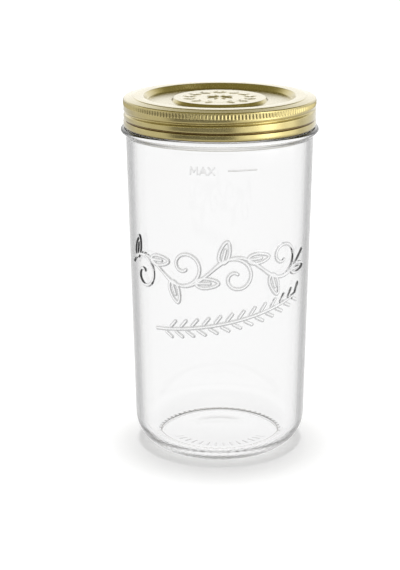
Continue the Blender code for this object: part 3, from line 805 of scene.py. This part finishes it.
def stoved_white_enamel():
    """White enamel stoved on the inside of the lid and the capsule: smooth, faintly mottled, half gloss."""
    surface, tree, shader = new_material("stoved_white_enamel")
    place = add_node(tree, "ShaderNodeTexCoord").outputs["Object"]
    # Mottling some 7 mm across
    cloud = add_node(tree, "ShaderNodeTexNoise", inputs={"Scale": 150.0, "Detail": 2.0},
                     links={"Vector": place})
    tint = add_node(tree, "ShaderNodeValToRGB", links={"Fac": cloud.outputs["Fac"]})
    two_tone(tint, "#EFEEEA", "#F6F5F2")
    tree.links.new(tint.outputs["Color"], shader.inputs["Base Color"])
    gloss = add_node(tree, "ShaderNodeMapRange", inputs={"To Min": 0.28, "To Max": 0.38},
                     links={"Value": cloud.outputs["Fac"]})
    tree.links.new(gloss.outputs["Result"], shader.inputs["Roughness"])
    return surface


def plastisol():
    """Moulded plastisol, the usual sealing compound: matt, off-white, faintly pitted."""
    surface, tree, shader = new_material("moulded_plastisol")
    place = add_node(tree, "ShaderNodeTexCoord").outputs["Object"]
    # Pits some 0.8 mm across
    pits = add_node(tree, "ShaderNodeTexNoise", inputs={"Scale": 1200.0, "Detail": 2.0},
                    links={"Vector": place})
    tint = add_node(tree, "ShaderNodeValToRGB", links={"Fac": pits.outputs["Fac"]})
    two_tone(tint, "#DAD4C2", "#E9E4D6")
    tree.links.new(tint.outputs["Color"], shader.inputs["Base Color"])
    shader.inputs["Roughness"].default_value = 0.55
    bump = add_node(tree, "ShaderNodeBump", inputs={"Strength": 0.2, "Distance": 0.00005},
                    links={"Height": pits.outputs["Fac"]})
    tree.links.new(bump.outputs["Normal"], shader.inputs["Normal"])
    return surface


# Studio

def stage_piece(shape, name, surface):
    """Turns a bmesh into a named object of the studio, with one finish."""
    made = as_object(shape, name, [surface])
    return made


def sheet_of_paper(name, surface):
    """A level sheet, far wider than the jar, at the height that the jar stands on."""
    shape = bmesh.new()
    bmesh.ops.create_grid(shape, x_segments=8, y_segments=8, size=PAPER_SIZE)
    return stage_piece(shape, name, surface)


def studio_floor():
    """A wide sheet of white paper on a light table under the jar."""
    surface, tree, shader = new_material("white_studio_paper")
    for name, value in {"Base Color": linear("#F9F9F9"), "Roughness": 0.9, "Specular IOR Level": 0.0,
                        "Emission Color": linear("#FFFFFF"), "Emission Strength": 0.12}.items():
        shader.inputs[name].default_value = value
    floor = sheet_of_paper("studio_floor", surface)
    floor.visible_transmission = floor.visible_glossy = False


def glowing(name, code):
    """A finish that only gives light, its node tree and its light."""
    surface = bpy.data.materials.new(name)
    surface.use_nodes = True
    tree = surface.node_tree
    tree.nodes.remove(tree.nodes["Principled BSDF"])
    glow = add_node(tree, "ShaderNodeEmission", inputs={"Color": linear(code)})
    tree.links.new(glow.outputs[0], tree.nodes["Material Output"].inputs["Surface"])
    return surface, tree, glow


def glass_floor():
    """The same paper as glass and gold show it: even and white."""
    surface = glowing("paper_through_glass", "#FEFEFE")[0]
    floor = sheet_of_paper("glass_floor", surface)
    floor.visible_camera = floor.visible_diffuse = floor.visible_shadow = False


def overhead_light():
    """A large soft light straight above, which gives the shadow round the foot."""
    data = bpy.data.lights.new("overhead_light", "SUN")
    data.angle = math.radians(17)
    data.energy = 1.85
    light = bpy.data.objects.new("overhead_light", data)
    light.rotation_euler = (math.radians(-3.0), 0.0, 0.0)
    light.visible_camera = light.visible_transmission = light.visible_glossy = False
    bpy.context.scene.collection.objects.link(light)


def studio_dome():
    """Soft white light from all round, less of it from above."""
    world = bpy.data.worlds.new("studio_dome")
    world.cycles.sampling_method = "NONE"
    world.use_nodes = True
    tree = world.node_tree
    way = add_node(tree, "ShaderNodeTexCoord").outputs["Generated"]
    parts = add_node(tree, "ShaderNodeSeparateXYZ", links={"Vector": way})
    level = add_node(tree, "ShaderNodeMapRange", {"interpolation_type": "SMOOTHSTEP"},
                     {"From Min": 0.25, "From Max": 0.60, "To Min": 1.05, "To Max": 0.40},
                     {"Value": parts.outputs["Z"]})
    backdrop = tree.nodes["Background"]
    backdrop.inputs["Color"].default_value = linear("#FFFFFF")
    tree.links.new(level.outputs[0], backdrop.inputs["Strength"])
    bpy.context.scene.world = world


def only_in_reflections(made):
    """Hides a piece of the studio from the camera, and from light that isn't reflected."""
    made.visible_camera = made.visible_diffuse = made.visible_transmission = made.visible_shadow = False


def tent():
    """The white tent round the table as the gold shows it, with its warm dark ceiling."""
    surface, tree, glow = glowing("tent_cloth", "#FFFFFF")
    place = add_node(tree, "ShaderNodeTexCoord").outputs["Object"]
    parts = add_node(tree, "ShaderNodeSeparateXYZ", links={"Vector": place})
    level = add_node(tree, "ShaderNodeMapRange", {"interpolation_type": "SMOOTHSTEP"},
                     {"From Min": 0.36 * TENT_RADIUS, "From Max": 0.58 * TENT_RADIUS},
                     {"Value": parts.outputs["Z"]})
    power = add_node(tree, "ShaderNodeMapRange", inputs={"To Min": 1.43, "To Max": 0.34},
                     links={"Value": level.outputs[0]})
    colour = add_node(tree, "ShaderNodeValToRGB", links={"Fac": level.outputs[0]})
    two_tone(colour, "#FFFFFF", "#FFF6B4")
    tree.links.new(power.outputs[0], glow.inputs["Strength"])
    tree.links.new(colour.outputs["Color"], glow.inputs["Color"])
    shape = bmesh.new()
    bmesh.ops.create_icosphere(shape, subdivisions=4, radius=TENT_RADIUS)
    only_in_reflections(stage_piece(shape, "tent", surface))


def card(name, levels, start, end, top):
    """A card that stands round the jar from one azimuth to another, and fades into the paper at its foot.

    The levels are its brightness at the start, in the middle and at the end.
    """
    surface, tree, glow = glowing(name, "#FFFFFF")
    place = add_node(tree, "ShaderNodeTexCoord").outputs["Object"]
    parts = add_node(tree, "ShaderNodeSeparateXYZ", links={"Vector": place})
    front = add_node(tree, "ShaderNodeMath", {"operation": "MULTIPLY"}, {1: -1.0}, {0: parts.outputs["Y"]})
    turn = add_node(tree, "ShaderNodeMath", {"operation": "ARCTAN2"},
                    links={0: parts.outputs["X"], 1: front.outputs[0]})
    first, middle, last = levels
    low, high, fade = math.radians(start), math.radians(end), math.radians(CARD_FADE)
    rise = add_node(tree, "ShaderNodeMapRange", {"interpolation_type": "SMOOTHSTEP"},
                    {"From Min": low, "From Max": low + fade, "To Min": first, "To Max": middle},
                    {"Value": turn.outputs[0]})
    fall = add_node(tree, "ShaderNodeMapRange", {"interpolation_type": "SMOOTHSTEP"},
                    {"From Min": high - fade, "From Max": high, "To Min": 0.0, "To Max": last - middle},
                    {"Value": turn.outputs[0]})
    level = add_node(tree, "ShaderNodeMath", {"operation": "ADD"},
                     links={0: rise.outputs[0], 1: fall.outputs[0]})
    foot = add_node(tree, "ShaderNodeMapRange", {"interpolation_type": "SMOOTHSTEP"},
                    {"From Min": 0.01, "From Max": 0.05}, {"Value": parts.outputs["Z"]})
    strength = add_node(tree, "ShaderNodeMix", {"data_type": "FLOAT"}, {2: 0.95},
                        {0: foot.outputs[0], 3: level.outputs[0]})
    tree.links.new(strength.outputs[0], glow.inputs["Strength"])
    shape = bmesh.new()
    verts = [shape.verts.new((0.0, -CARD_DISTANCE, z)) for z in (0.001, top)]
    edges = [shape.edges.new(pair) for pair in zip(verts, verts[1:])]
    bmesh.ops.rotate(shape, verts=verts, cent=(0, 0, 0), matrix=Matrix.Rotation(low, 3, "Z"))
    bmesh.ops.spin(shape, geom=verts + edges, cent=(0, 0, 0), axis=(0, 0, 1), dvec=(0, 0, 0),
                   angle=high - low, steps=14, use_merge=False, use_duplicate=False)
    only_in_reflections(stage_piece(shape, name, surface))


def studio():
    """The whole studio. Each card has its levels, its two azimuths in degrees and its height in metres."""
    studio_floor()
    glass_floor()
    studio_dome()
    overhead_light()
    tent()
    for name, levels, start, end, top in (
            ("dark_card", (0.95, 0.2, 1.4), -62, 22, 0.30),
            ("front_right_card", (1.4, 1.9, 2.7), 22, 46, 0.40),
            ("highlight_card", (2.7, 4.0, 2.7), 46, 69, 0.9),
            ("right_card", (2.7, 1.9, 1.2), 69, 103, 0.55),
            ("left_card", (1.1, 1.1, 0.95), -95, -62, 0.40),
            ("back_left_card", (1.2, 0.85, 1.2), -168, -112, 0.30),
            ("back_right_card", (1.2, 1.05, 1.2), 118, 168, 0.30)):
        card(name, levels, start, end, top)


def photograph_camera():
    """The photograph's own angle: a 95 mm lens, 0.87 m in front, looking down 16.6 degrees."""
    data = bpy.data.cameras.new("photograph_camera")
    data.lens = 94.95
    data.sensor_width = 36.0
    data.shift_x = -0.0346
    data.clip_start, data.clip_end = 0.05, 60.0
    camera = bpy.data.objects.new("photograph_camera", data)
    camera.location = (0.0, -0.8695, 0.3562)
    camera.rotation_euler = (math.radians(90.0 - 16.58), 0.0, 0.0)
    bpy.context.scene.collection.objects.link(camera)
    bpy.context.scene.camera = camera
    bpy.context.scene.view_settings.view_transform = "Standard"


def light_paths():
    """Long paths, because light that is caught in the heel and the base would otherwise end in black."""
    paths = bpy.context.scene.cycles
    paths.blur_glossy = 0.0
    paths.max_bounces = 32
    paths.glossy_bounces = 24
    paths.transmission_bounces = 16


enamel = stoved_white_enamel()
glass_jar(pressed_soda_lime_glass())
screw_lid(gold_lacquered_tinplate(), enamel)
capsule(lacquered_capsule(), enamel)
compound_ring(plastisol())
studio()
photograph_camera()
light_paths()
